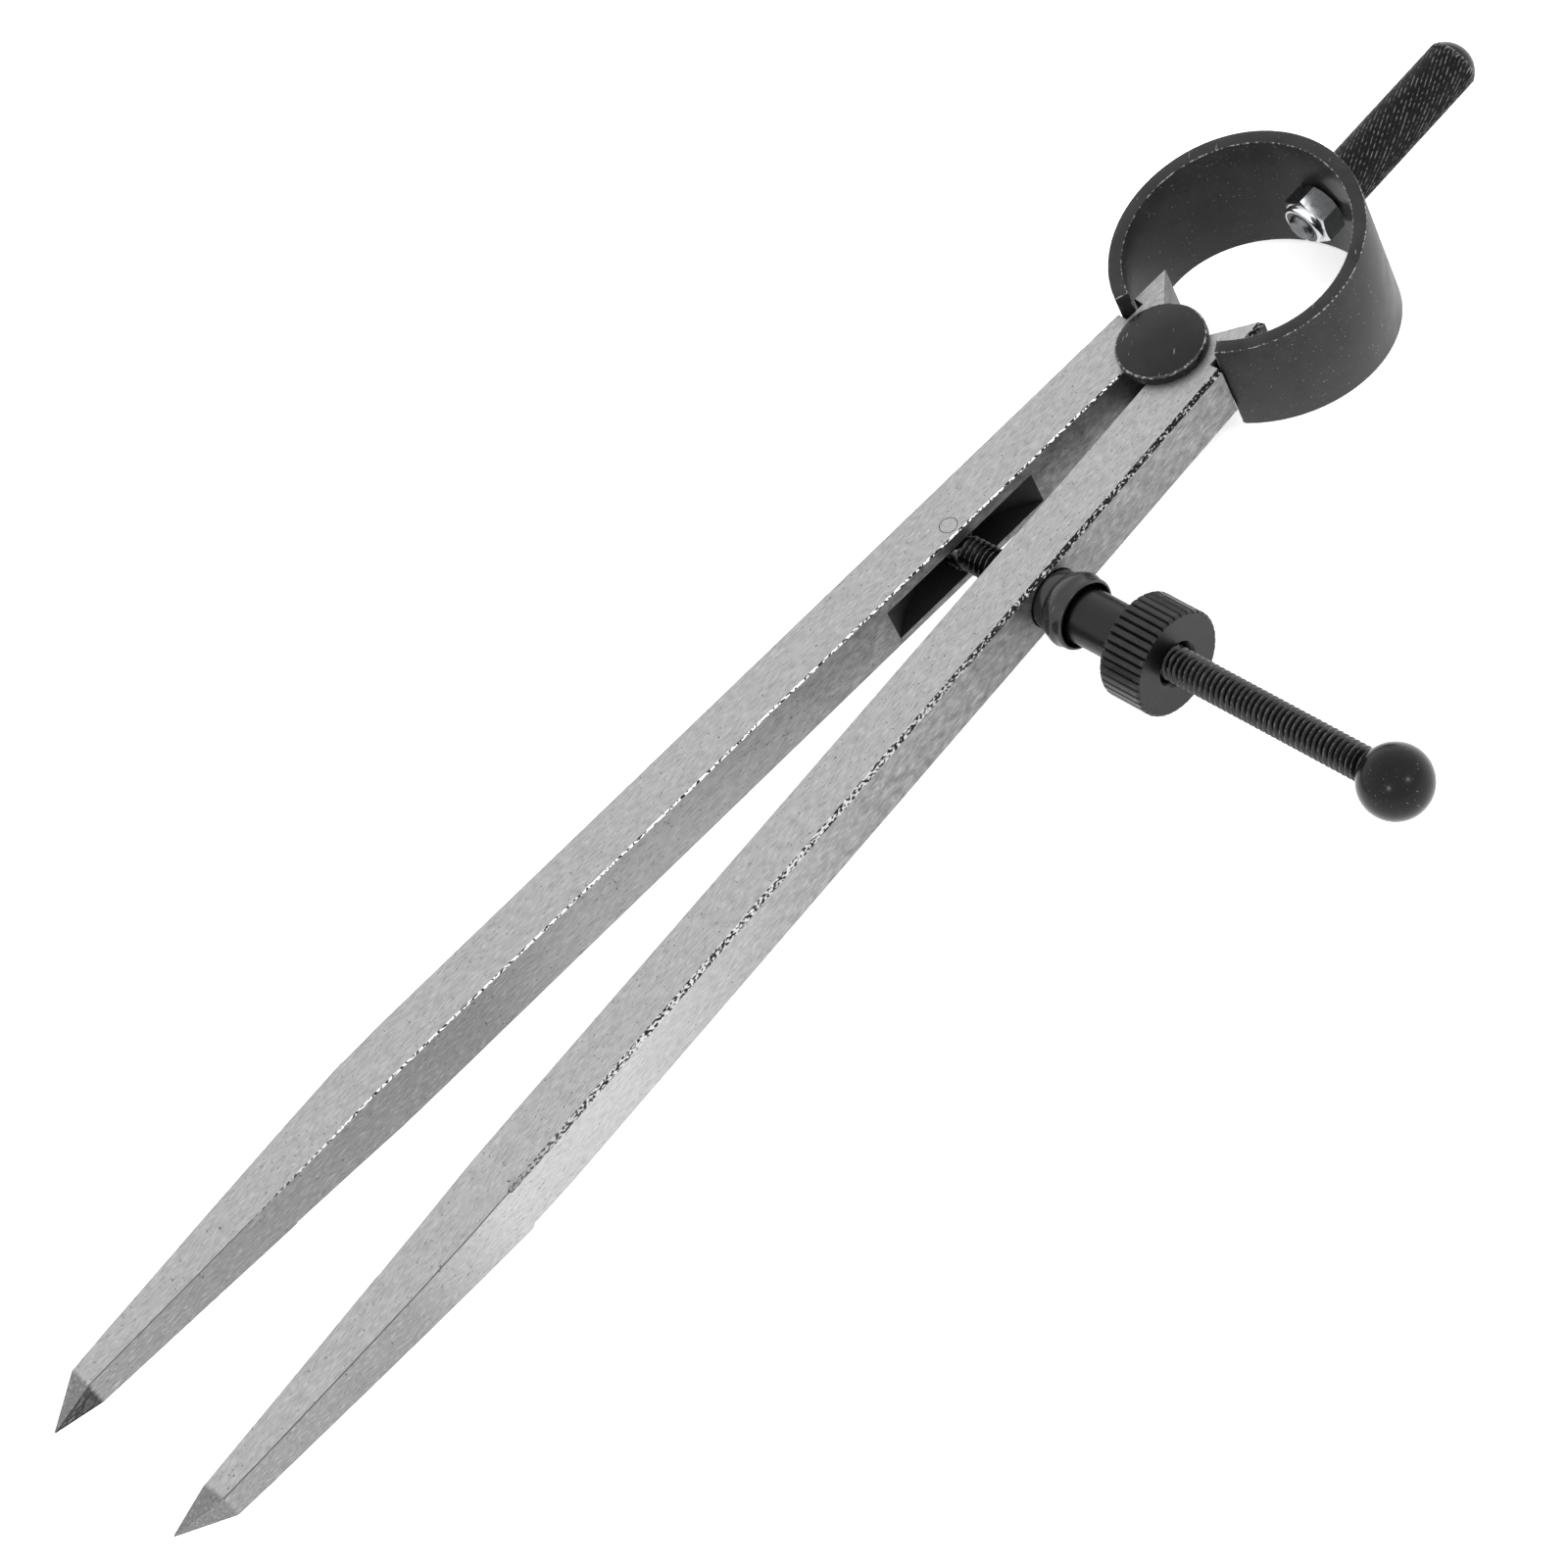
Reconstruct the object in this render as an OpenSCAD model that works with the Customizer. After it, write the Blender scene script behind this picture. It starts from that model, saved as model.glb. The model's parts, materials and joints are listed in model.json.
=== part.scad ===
// Spring-bow divider with a knurled adjusting nut, screw and ball end.
// Millimetres. +Z is the front face, +Y runs from the points to the handle,
// +X runs along the adjusting screw towards its ball.

/* [Legs] */
// Distance from the fulcrum to each point
leg_length = 200; // [190:1:215]
// Angle between each leg and the centre line as the divider lies
leg_angle = 3.04; // [2.9:0.01:3.2]
// Gap between the inner faces of the legs at the fulcrum
leg_gap = 3.4; // [3.4:0.1:3.6]
// Width of a leg across its inner and outer faces
leg_width = 7.9; // [7.9:0.1:8.2]
// Thickness of a leg from front to back
leg_thickness = 8.9; // [8.8:0.1:9.4]
// Length over which the outer face narrows towards the point
width_taper = 65; // [60:1:75]
// Length over which the front and back faces thin towards the point
thickness_taper = 55; // [50:1:58]
// Length of the ground point
point_length = 7; // [5:0.5:9]

/* [Fulcrum] */
// Radius of the hub that both legs turn on
hub_radius = 3.6; // [3.4:0.1:3.8]
// Radius of the front and rear discs
disc_radius = 6.3; // [5.5:0.1:6.6]
// Thickness of a disc at its rim
disc_thickness = 1.35; // [1:0.05:1.6]
// Height of the dome on the front disc
dome_height = 0.8; // [0.5:0.1:1.2]

/* [Bow spring] */
// Height of the spring's centre above the fulcrum
spring_centre = 16.3; // [16.2:0.1:16.6]
// Half width of the spring across its sides
spring_half_width = 18.2; // [18:0.1:18.6]
// Half height of the spring along the centre line
spring_half_height = 17.35; // [17.2:0.05:17.6]
// Thickness of the spring strip
strip_thickness = 1.95; // [1.8:0.05:2.1]
// Width of the strip at the crown
crown_band = 21.4; // [20:0.1:22]
// Width of the strip at the sides
side_band = 17.1; // [16.5:0.1:18]

/* [Handle] */
// Radius of the handle
handle_radius = 3.73; // [3.5:0.01:4]
// Length of the handle from the spring to the top of its dome
handle_length = 27.4; // [22:0.1:32]
// Lean of the handle from the centre line
handle_lean = 1.1; // [0:0.1:1.2]

/* [Adjusting screw] */
// Radius of the screw over its thread
screw_radius = 2.42; // [2.3:0.01:2.45]
// Distance from the pivot pin to the ball's centre
ball_reach = 75; // [60:1:85]
// Radius of the ball
ball_radius = 5; // [4:0.5:6]
// Radius of the adjusting nut over its knurl
knurl_radius = 7.33; // [6.5:0.01:8]
// Length of the knurled head
knurl_length = 6.8; // [5:0.1:8]
// Number of ridges on the knurl
knurl_ridges = 40; // [30:1:48]

/* [Hidden] */
$fn = 64;
eps = 0.5;
far = 80;

inner_face = leg_gap / 2;
outer_face = inner_face + leg_width;
half_thickness = leg_thickness / 2;
shaft_gap = 0.04;

// Taper of a leg, measured back from its point
shoulder_width = 3.75;
shoulder_thickness = 4.6;
mid_width = 6.6;
mid_thickness = 7;
mid_station = 40;
point_flat = 0.1;
point_axis = inner_face + point_flat;

// Seat of the bow spring in the outer edge of a leg's head
notch_depth = 1.9;
notch_low = 0.5;
notch_high = 3.6;

// Pivot pin of the screw, as distances along and across the left leg
pin_along = 37.05;
pin_across = 3.55;
pin_radius = 1.2;
eye_radius = 2.6;
eye_thickness = 4.4;
tongue_length = 4;

// Disc-milled pockets in the inner faces
cutter_radius = 20.5;
pocket_depth = 5;
pocket_along = 37.6;
pocket_width = 5.7;
screw_height = -0.4;

// Ball seat of the cup washer on the right leg
seat_along = 36.72;
seat_across = outer_face + 1.17;
seat_radius = 4.4;
nose_radius = 4.2;
nose_end = 2.4;
slot_half_length = 4.1;
slot_shift = 1;

// Cup washer, stations from the seat's centre
cup_neck = 0.6;
cup_shoulder = 2.1;
cup_rim = 4.6;
cup_floor = 1.6;
cup_radius = 5.2;
cup_rim_radius = 4.9;
cup_bore = 2.75;
recess_radius = 4.4;

// Adjusting nut, stations from the seat's centre
nut_start = 1.75;
barrel_end = 13.7;
barrel_radius = 3.85;
nut_bore = 2.74;
entry_radius = 3.3;
entry_depth = 0.7;
knurl_depth = 0.45;
knurl_chamfer = 0.6;

// Screw thread end inside the ball
ball_stud_radius = 2;
ball_stud_start = ball_reach - 4.4;

// Handle stud and lock nut
stud_radius = 2;
stud_start = 26.1;
stud_end = 46;
lock_nut_flats = 7;
lock_nut_face = 26.85;
lock_nut_seat = 31.15;
collar_radius = 3.15;
collar_height = 1.1;
insert_radius = 2.75;
insert_depth = 1;
handle_edge = 0.5;
handle_shoulder = 2.4;

// Tail of the fulcrum stud behind the rear disc
tail_radius = 2.5;
tail_height = 0.6;

// Fulcrum discs stand just off the legs
disc_gap = 0.05;
front_face = half_thickness + disc_gap;
disc_top = front_face + disc_thickness;

// Oval of the bow spring
spring_end_angle = 29.5;
strip_steps = 90;
crown_top = spring_centre + spring_half_height;

// Large circle that narrows the strip from the crown to its ends
edge_radius = 298;
edge_rise = (crown_band - side_band) / 2;
edge_chord = sqrt(pow(spring_half_height, 2) + pow(edge_rise, 2));
edge_drop = sqrt(pow(edge_radius, 2) - pow(edge_chord / 2, 2));
edge_y = spring_centre + spring_half_height / 2 - edge_drop * edge_rise / edge_chord;
edge_z = (crown_band + side_band) / 4 + edge_drop * spring_half_height / edge_chord;

// Places of the pin and of the seat about the fulcrum
function on_leg(side, along, across) = [
    side * (across * cos(leg_angle) + along * sin(leg_angle)),
    across * sin(leg_angle) - along * cos(leg_angle)
];
pin_at = on_leg(-1, pin_along, pin_across);
seat_at = on_leg(1, seat_along, seat_across);
seat_reach = norm(seat_at - pin_at);
screw_tilt = atan2(seat_at[1] - pin_at[1], seat_at[0] - pin_at[0]);

// Dome of the handle and of the front disc, each part of a sphere
dome_rise = handle_shoulder;
handle_shoulder_y = crown_top + disc_gap + handle_length - dome_rise;
handle_sphere = (pow(handle_radius, 2) + pow(dome_rise, 2)) / (2 * dome_rise);
disc_sphere = (pow(disc_radius, 2) + pow(dome_height, 2)) / (2 * dome_height);

// Box of the whole divider about the fulcrum
box_left = -spring_half_width;
box_right = pin_at[0] + ball_reach * cos(screw_tilt) + ball_radius;
box_low = on_leg(1, leg_length, inner_face)[1];
handle_sphere_y = (handle_shoulder_y + dome_rise - handle_sphere) * cos(handle_lean);
box_high = handle_sphere_y + handle_sphere;
box_back = -crown_band / 2;

// Moves a part from the fulcrum's frame to the middle of the base
module place() {
    translate([-(box_left + box_right) / 2, -(box_low + box_high) / 2, -box_back])
        children();
}

// Draws in the frame of the screw: origin on the pin, +Z along the screw
module along_screw() {
    translate([pin_at[0], pin_at[1], screw_height])
        rotate([0, 0, screw_tilt])
            rotate([0, 90, 0])
                children();
}

// Draws with +Z up the handle's own axis
module along_handle() {
    rotate([0, 0, handle_lean])
        rotate([-90, 0, 0])
            children();
}

// Outline of a leg seen from the front, straight inside and tapered outside
module leg_outline() {
    polygon([
        [inner_face, inner_face],
        [outer_face, outer_face],
        [outer_face, width_taper - leg_length],
        [inner_face + mid_width, mid_station - leg_length],
        [inner_face + shoulder_width, point_length - leg_length],
        [point_axis + point_flat, -leg_length],
        [inner_face, -leg_length]
    ]);
}

// Outline of a leg seen from the side, tapered front and back
module leg_profile() {
    polygon([
        [outer_face + eps, half_thickness],
        [thickness_taper - leg_length, half_thickness],
        [mid_station - leg_length, mid_thickness / 2],
        [point_length - leg_length, shoulder_thickness / 2],
        [-leg_length, point_flat],
        [-leg_length, -point_flat],
        [point_length - leg_length, -shoulder_thickness / 2],
        [mid_station - leg_length, -mid_thickness / 2],
        [thickness_taper - leg_length, -half_thickness],
        [outer_face + eps, -half_thickness]
    ]);
}

// Leg blank in its own frame with the hub bearing, spring notch and pocket
module leg_blank() {
    difference() {
        intersection() {
            linear_extrude(height = leg_thickness, center = true)
                leg_outline();
            rotate([90, 0, 90])
                linear_extrude(height = far, center = true)
                    leg_profile();
        }
        cylinder(r = hub_radius + shaft_gap, h = leg_thickness + 2 * eps, center = true);
        translate([outer_face - notch_depth, notch_low, -leg_thickness])
            cube([leg_width, notch_high - notch_low, 2 * leg_thickness]);
        translate([inner_face + pocket_depth - cutter_radius, -pocket_along, screw_height])
            cylinder(r = cutter_radius, h = pocket_width, center = true, $fn = 128);
    }
}

module left_leg() {
    color([0.62, 0.62, 0.62])
    place()
        mirror([1, 0, 0])
            rotate([0, 0, leg_angle])
                difference() {
                    leg_blank();
                    translate([pin_across, -pin_along, 0])
                        cylinder(r = pin_radius + shaft_gap / 2, h = far, center = true, $fn = 32);
                }
}

module right_leg() {
    color([0.62, 0.62, 0.62])
    place()
        rotate([0, 0, leg_angle])
            difference() {
                leg_blank();
                translate([seat_across, -seat_along, screw_height])
                    sphere(r = seat_radius);
                clearance_slot();
            }
}

// Oblong hole for the screw through the right leg's outer wall, set towards the fulcrum
module clearance_slot() {
    end_shift = slot_half_length - pocket_width / 2;
    translate([outer_face, slot_shift - seat_along, screw_height]) {
        for (side = [-1, 1])
            translate([0, side * end_shift, 0])
                rotate([0, 90, 0])
                    cylinder(d = pocket_width, h = leg_width, center = true, $fn = 48);
        cube([leg_width, 2 * end_shift, pocket_width], center = true);
    }
}

// Hub between the legs in one piece with the domed front disc and a riveted tail
module fulcrum_stud() {
    color([0.16, 0.16, 0.16])
    place() {
        translate([0, 0, -front_face])
            cylinder(r = hub_radius, h = 2 * front_face);
        translate([0, 0, front_face])
            cylinder(r = disc_radius, h = disc_thickness);
        intersection() {
            translate([0, 0, disc_top])
                cylinder(r = disc_radius, h = dome_height);
            translate([0, 0, disc_top + dome_height - disc_sphere])
                sphere(r = disc_sphere, $fn = 256);
        }
        translate([0, 0, -disc_top - tail_height])
            cylinder(r = tail_radius, h = disc_thickness + tail_height);
    }
}

module fulcrum_rear_disc() {
    color([0.16, 0.16, 0.16])
    place()
        translate([0, 0, -disc_top])
            difference() {
                cylinder(r = disc_radius, h = disc_thickness - disc_gap / 2);
                translate([0, 0, -eps])
                    cylinder(r = tail_radius + shaft_gap, h = disc_thickness + 2 * eps);
            }
}

// Outline of the spring strip: two ovals a strip thickness apart, open at the legs
module strip_outline() {
    sweep = 360 - 2 * spring_end_angle;
    start = spring_end_angle - 90;
    polygon([
        for (side = [0, 1], step = [0 : strip_steps])
            let (angle = start + sweep * (side == 0 ? step : strip_steps - step) / strip_steps)
            [
                (spring_half_width - side * strip_thickness) * cos(angle),
                (spring_half_height - side * strip_thickness) * sin(angle) + spring_centre
            ]
    ]);
}

// C-shaped strip, widest under the handle, that pushes the heads together
module bow_spring() {
    color([0.2, 0.2, 0.21])
    place()
        difference() {
            linear_extrude(height = crown_band, center = true)
                strip_outline();
            for (side = [-1, 1])
                translate([0, edge_y, side * edge_z])
                    rotate([0, 90, 0])
                        cylinder(r = edge_radius, h = far, center = true, $fn = 360);
            along_handle()
                translate([0, 0, lock_nut_face])
                    cylinder(r = stud_radius + shaft_gap, h = stud_end - lock_nut_face);
        }
}

// Round handle with a domed end, screwed on to the stud
module handle_grip() {
    start = crown_top + disc_gap;
    color([0.14, 0.14, 0.14])
    place()
        along_handle()
            difference() {
                union() {
                    translate([0, 0, start])
                        cylinder(r1 = handle_radius - handle_edge, r2 = handle_radius, h = handle_edge);
                    translate([0, 0, start + handle_edge])
                        cylinder(r = handle_radius, h = handle_shoulder_y - start - handle_edge);
                    intersection() {
                        translate([0, 0, handle_shoulder_y])
                            cylinder(r = handle_radius, h = dome_rise);
                        translate([0, 0, handle_shoulder_y + dome_rise - handle_sphere])
                            sphere(r = handle_sphere);
                    }
                }
                cylinder(r = stud_radius + shaft_gap / 2, h = stud_end + shaft_gap);
            }
}

module handle_stud() {
    color([0.75, 0.76, 0.77])
    place()
        along_handle()
            translate([0, 0, stud_start])
                cylinder(r = stud_radius, h = stud_end - stud_start);
}

// Hexagon nut with a rolled collar that holds the nylon ring
module lock_nut_body() {
    hexagon_start = lock_nut_face + collar_height;
    hexagon_height = lock_nut_seat - hexagon_start;
    color([0.78, 0.79, 0.8])
    place()
        along_handle()
            difference() {
                union() {
                    translate([0, 0, hexagon_start])
                        cylinder(d = lock_nut_flats / cos(30), h = hexagon_height, $fn = 6);
                    translate([0, 0, lock_nut_face])
                        cylinder(r = collar_radius, h = collar_height);
                }
                translate([0, 0, lock_nut_face - eps])
                    cylinder(r = stud_radius + shaft_gap / 2, h = far);
                translate([0, 0, lock_nut_face - eps])
                    cylinder(r = insert_radius, h = insert_depth + eps);
            }
}

module lock_nut_insert() {
    color([0.85, 0.85, 0.8])
    place()
        along_handle()
            translate([0, 0, lock_nut_face + shaft_gap])
                difference() {
                    cylinder(r = insert_radius - shaft_gap / 2, h = insert_depth - 2 * shaft_gap);
                    translate([0, 0, -eps])
                        cylinder(r = stud_radius + shaft_gap / 2, h = insert_depth + 2 * eps);
                }
}

module screw_pivot_pin() {
    color([0.5, 0.5, 0.5])
    place()
        translate([pin_at[0], pin_at[1], 0])
            cylinder(r = pin_radius, h = leg_thickness, center = true, $fn = 32);
}

// Threaded rod with a flat eye at the pin and a plain end inside the ball
module adjusting_screw() {
    color([0.2, 0.2, 0.2])
    place()
        along_screw()
            difference() {
                union() {
                    rotate([0, 90, 0])
                        cylinder(r = eye_radius, h = eye_thickness, center = true);
                    intersection() {
                        cylinder(r = screw_radius, h = tongue_length);
                        cube([eye_thickness, far, far], center = true);
                    }
                    translate([0, 0, tongue_length])
                        cylinder(r = screw_radius, h = ball_stud_start - tongue_length);
                    translate([0, 0, ball_stud_start])
                        cylinder(r = ball_stud_radius, h = ball_reach - ball_stud_start);
                }
                rotate([0, 90, 0])
                    cylinder(r = pin_radius + shaft_gap, h = far, center = true, $fn = 32);
            }
}

module ball_end() {
    color([0.12, 0.12, 0.12])
    place()
        along_screw()
            translate([0, 0, ball_reach])
                difference() {
                    sphere(r = ball_radius);
                    translate([0, 0, -ball_radius - eps])
                        cylinder(r = ball_stud_radius + shaft_gap / 2, h = ball_radius + eps + shaft_gap);
                    translate([0, 0, -ball_radius - eps])
                        cylinder(r = ball_radius, h = ball_radius + ball_stud_start - ball_reach + eps + shaft_gap);
                }
}

// Washer with a ball nose in the leg's seat and a cup for the nut
module cup_washer() {
    color([0.13, 0.13, 0.13])
    place()
        along_screw()
            translate([0, 0, seat_reach])
                difference() {
                    union() {
                        intersection() {
                            sphere(r = nose_radius);
                            translate([0, 0, -nose_end])
                                cylinder(r = nose_radius, h = nose_end + cup_neck);
                        }
                        translate([0, 0, cup_neck])
                            cylinder(r1 = sqrt(pow(nose_radius, 2) - pow(cup_neck, 2)), r2 = cup_radius,
                                     h = cup_shoulder - cup_neck);
                        translate([0, 0, cup_shoulder])
                            cylinder(r1 = cup_radius, r2 = cup_rim_radius, h = cup_rim - cup_shoulder);
                    }
                    cylinder(r = cup_bore, h = far, center = true);
                    translate([0, 0, cup_floor])
                        cylinder(r = recess_radius, h = far);
                }
}

// Toothed outline of the knurled head
module knurl_outline() {
    step = 360 / knurl_ridges;
    polygon([
        for (tooth = [0 : knurl_ridges - 1], part = [0 : 2])
            let (radius = part == 2 ? knurl_radius - knurl_depth : knurl_radius)
            let (angle = tooth * step + (part == 0 ? -step / 5 : part == 1 ? step / 5 : step / 2))
            [radius * cos(angle), radius * sin(angle)]
    ]);
}

// One turned nut: a barrel into the cup washer and a knurled head
module adjusting_nut() {
    head_end = barrel_end + knurl_length;
    color([0.15, 0.15, 0.15])
    place()
        along_screw()
            translate([0, 0, seat_reach])
                difference() {
                    union() {
                        translate([0, 0, nut_start])
                            cylinder(r = barrel_radius, h = barrel_end - nut_start);
                        intersection() {
                            translate([0, 0, barrel_end])
                                linear_extrude(height = knurl_length)
                                    knurl_outline();
                            translate([0, 0, barrel_end])
                                cylinder(r1 = knurl_radius - knurl_chamfer,
                                         r2 = knurl_radius - knurl_chamfer + knurl_length, h = knurl_length);
                            translate([0, 0, barrel_end])
                                cylinder(r1 = knurl_radius - knurl_chamfer + knurl_length,
                                         r2 = knurl_radius - knurl_chamfer, h = knurl_length);
                        }
                    }
                    cylinder(r = nut_bore, h = far);
                    translate([0, 0, head_end - entry_depth])
                        cylinder(r1 = nut_bore, r2 = entry_radius, h = entry_depth);
                    translate([0, 0, head_end])
                        cylinder(r = entry_radius, h = eps);
                }
}

left_leg();
right_leg();
fulcrum_stud();
fulcrum_rear_disc();
bow_spring();
handle_grip();
handle_stud();
lock_nut_body();
lock_nut_insert();
screw_pivot_pin();
adjusting_screw();
ball_end();
cup_washer();
adjusting_nut();
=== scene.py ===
"""Spring-bow divider lying on a pale table.

Ground steel legs, a black bow spring, a knurled handle, and an adjusting screw with its nut,
cup washer and ball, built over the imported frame. The frame gives every pivot and axis.
"""
import json
import logging
import math
from dataclasses import dataclass
from enum import Enum
from typing import Callable, Sequence

import bmesh
import bpy
from mathutils import Matrix, Vector


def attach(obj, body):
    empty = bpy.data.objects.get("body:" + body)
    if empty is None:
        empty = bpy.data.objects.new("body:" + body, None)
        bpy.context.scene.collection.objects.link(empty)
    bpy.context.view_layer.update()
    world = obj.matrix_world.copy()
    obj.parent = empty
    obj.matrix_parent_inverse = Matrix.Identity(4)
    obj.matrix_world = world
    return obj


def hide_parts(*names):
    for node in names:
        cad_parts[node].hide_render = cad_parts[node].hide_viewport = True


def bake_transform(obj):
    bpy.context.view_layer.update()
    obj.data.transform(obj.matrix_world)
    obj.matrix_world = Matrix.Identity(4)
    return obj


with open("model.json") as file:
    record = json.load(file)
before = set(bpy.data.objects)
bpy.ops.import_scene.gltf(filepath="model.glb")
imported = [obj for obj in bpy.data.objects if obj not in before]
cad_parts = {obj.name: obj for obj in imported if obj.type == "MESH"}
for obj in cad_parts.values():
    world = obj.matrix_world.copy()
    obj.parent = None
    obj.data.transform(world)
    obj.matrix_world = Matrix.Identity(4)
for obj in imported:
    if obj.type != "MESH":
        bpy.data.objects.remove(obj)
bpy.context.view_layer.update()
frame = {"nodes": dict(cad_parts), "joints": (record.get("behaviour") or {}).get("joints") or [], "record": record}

MM = 0.001
# The radius in millimetres that stands for 0 while a piece is turned, merged away at its end.
TINY = 0.0008
JOINTS = {joint["name"]: joint for joint in frame["joints"]}
MOUNTS = {mount["name"]: mount for mount in frame["record"]["mounts"]}
FULCRUM = Vector(JOINTS["left_leg_hinge"]["pos_m"])
PIN = Vector(JOINTS["screw_pivot"]["pos_m"])
SEAT = Vector(JOINTS["washer_pivot"]["pos_m"])
SCREW_AXIS = Vector(JOINTS["nut_spin"]["axis"])
HANDLE_AXIS = Vector(MOUNTS["handle"]["axis"])

logging.basicConfig(level=logging.INFO, format="%(message)s")
log = logging.getLogger("divider")

Station = tuple[float, float]
Piece = bpy.types.Object
Tree = bpy.types.NodeTree
Socket = bpy.types.NodeSocket
Paint = str | Socket


class Side(Enum):
    """Which of the two legs a piece belongs to, by its direction along X."""

    LEFT = -1
    RIGHT = 1

    @property
    def body(self) -> str:
        """Names the leg's body."""
        return self.name.lower()


# ---------------------------------------------------------------- workshop


def frame_along(origin: Vector, axis: Vector) -> Matrix:
    """Gives a frame whose +Z runs along an axis and whose +Y is the front.

    Args:
        origin: The frame's origin, in metres.
        axis: The direction of +Z.

    Returns:
        The matrix from that frame to the model's.
    """
    along = axis.normalized()
    across = Vector((0, 0, 1)).cross(along).normalized()
    front = along.cross(across)
    return Matrix.Translation(origin) @ Matrix((across, front, along)).transposed().to_4x4()


def deselect() -> None:
    """Clears the selection, so that an operator acts on nothing by accident."""
    bpy.ops.object.select_all(action="DESELECT")


def focus(piece: Piece) -> None:
    """Makes a piece the only selected and active one."""
    deselect()
    piece.select_set(True)
    bpy.context.view_layer.objects.active = piece


def edit(piece: Piece) -> None:
    """Opens a piece in edit mode with all of it selected."""
    focus(piece)
    bpy.ops.object.mode_set(mode="EDIT")
    bpy.ops.mesh.select_mode(type="VERT")
    bpy.ops.mesh.select_all(action="SELECT")


def close_edit() -> None:
    """Goes back to object mode."""
    bpy.ops.object.mode_set(mode="OBJECT")


def choose(piece: Piece, test: Callable[[Vector], bool]) -> None:
    """Selects the vertices of a piece in edit mode by their place.

    Args:
        piece: The piece that is open in edit mode.
        test: Says whether a vertex at a place, in metres, is selected.
    """
    mesh = bmesh.from_edit_mesh(piece.data)
    for vertex in mesh.verts:
        vertex.select = test(vertex.co)
    mesh.select_flush_mode()
    bmesh.update_edit_mesh(piece.data)


def choose_edges(piece: Piece, test: Callable[[Vector, Vector], bool]) -> None:
    """Selects the edges of a piece in edit mode by middle and direction.

    Args:
        piece: The piece that is open in edit mode.
        test: Says whether an edge with that middle and unit direction is selected.
    """
    bpy.ops.mesh.select_mode(type="EDGE")
    mesh = bmesh.from_edit_mesh(piece.data)
    for edge in mesh.edges:
        first, second = (vertex.co for vertex in edge.verts)
        edge.select = test((first + second) / 2, (second - first).normalized())
    mesh.select_flush_mode()
    bmesh.update_edit_mesh(piece.data)


def clean(piece: Piece, reach: float = 0.0015) -> None:
    """Merges doubles closer than a reach in millimetres and turns the faces outwards."""
    edit(piece)
    bpy.ops.mesh.remove_doubles(threshold=reach * MM)
    bpy.ops.mesh.normals_make_consistent(inside=False)
    close_edit()


def apply_modifier(piece: Piece, modifier: bpy.types.Modifier) -> None:
    """Applies a modifier to its piece."""
    focus(piece)
    bpy.ops.object.modifier_apply(modifier=modifier.name)


def cut(piece: Piece, cutter: Piece) -> None:
    """Cuts the shape of a cutter out of a piece and removes the cutter."""
    modifier = piece.modifiers.new("cut", "BOOLEAN")
    modifier.operation = "DIFFERENCE"
    modifier.object = cutter
    apply_modifier(piece, modifier)
    bpy.data.objects.remove(cutter)


def keep_common(piece: Piece, other: Piece) -> None:
    """Keeps what a piece has in common with another, which is removed."""
    modifier = piece.modifiers.new("common", "BOOLEAN")
    modifier.operation = "INTERSECT"
    modifier.object = other
    apply_modifier(piece, modifier)
    bpy.data.objects.remove(other)


def soften(piece: Piece, width: float, segments: int = 2, angle: float = 40,
           slot: int = -1) -> None:
    """Rounds the sharp edges of a piece.

    Args:
        piece: The piece.
        width: The width of the rounding, in millimetres.
        segments: How many faces the rounding has.
        angle: The angle between two faces above which their edge is rounded, in degrees.
        slot: The material slot of the rounding, or -1 for that of the faces beside it.
    """
    modifier = piece.modifiers.new("soft", "BEVEL")
    modifier.material = slot
    modifier.width = width * MM
    modifier.segments = segments
    modifier.limit_method = "ANGLE"
    modifier.angle_limit = math.radians(angle)
    apply_modifier(piece, modifier)


def seat(piece: Piece, place: Matrix, angle: float = 35) -> Piece:
    """Moves a finished mesh to its place and smooths its round faces.

    Args:
        piece: The piece, modelled about the origin.
        place: The matrix from the piece's frame to the model's.
        angle: The angle up to which faces are shaded smooth, in degrees.

    Returns:
        The same piece, its object at the origin and its place in its mesh.
    """
    piece.matrix_world = place
    focus(piece)
    bpy.ops.object.transform_apply(location=True, rotation=True, scale=True)
    bpy.ops.object.shade_smooth_by_angle(angle=math.radians(angle))
    return piece


def give_slots(piece: Piece, count: int) -> None:
    """Gives a piece empty material slots up to a count."""
    while len(piece.data.materials) < count:
        piece.data.materials.append(None)


def hand_over(piece: Piece, body: str, node: str) -> None:
    """Lets a finished piece ride on its body in place of its CAD node.

    Args:
        piece: The finished piece.
        body: The body that it rides on.
        node: The CAD node that it replaces.
    """
    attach(piece, body)
    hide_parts(node)
    log.info("%s: %d faces", piece.name, len(piece.data.polygons))


def join(pieces: Sequence[Piece]) -> Piece:
    """Joins meshes into the first one, which is returned."""
    focus(pieces[0])
    for piece in pieces[1:]:
        piece.select_set(True)
    bpy.ops.object.join()
    return pieces[0]


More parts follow.
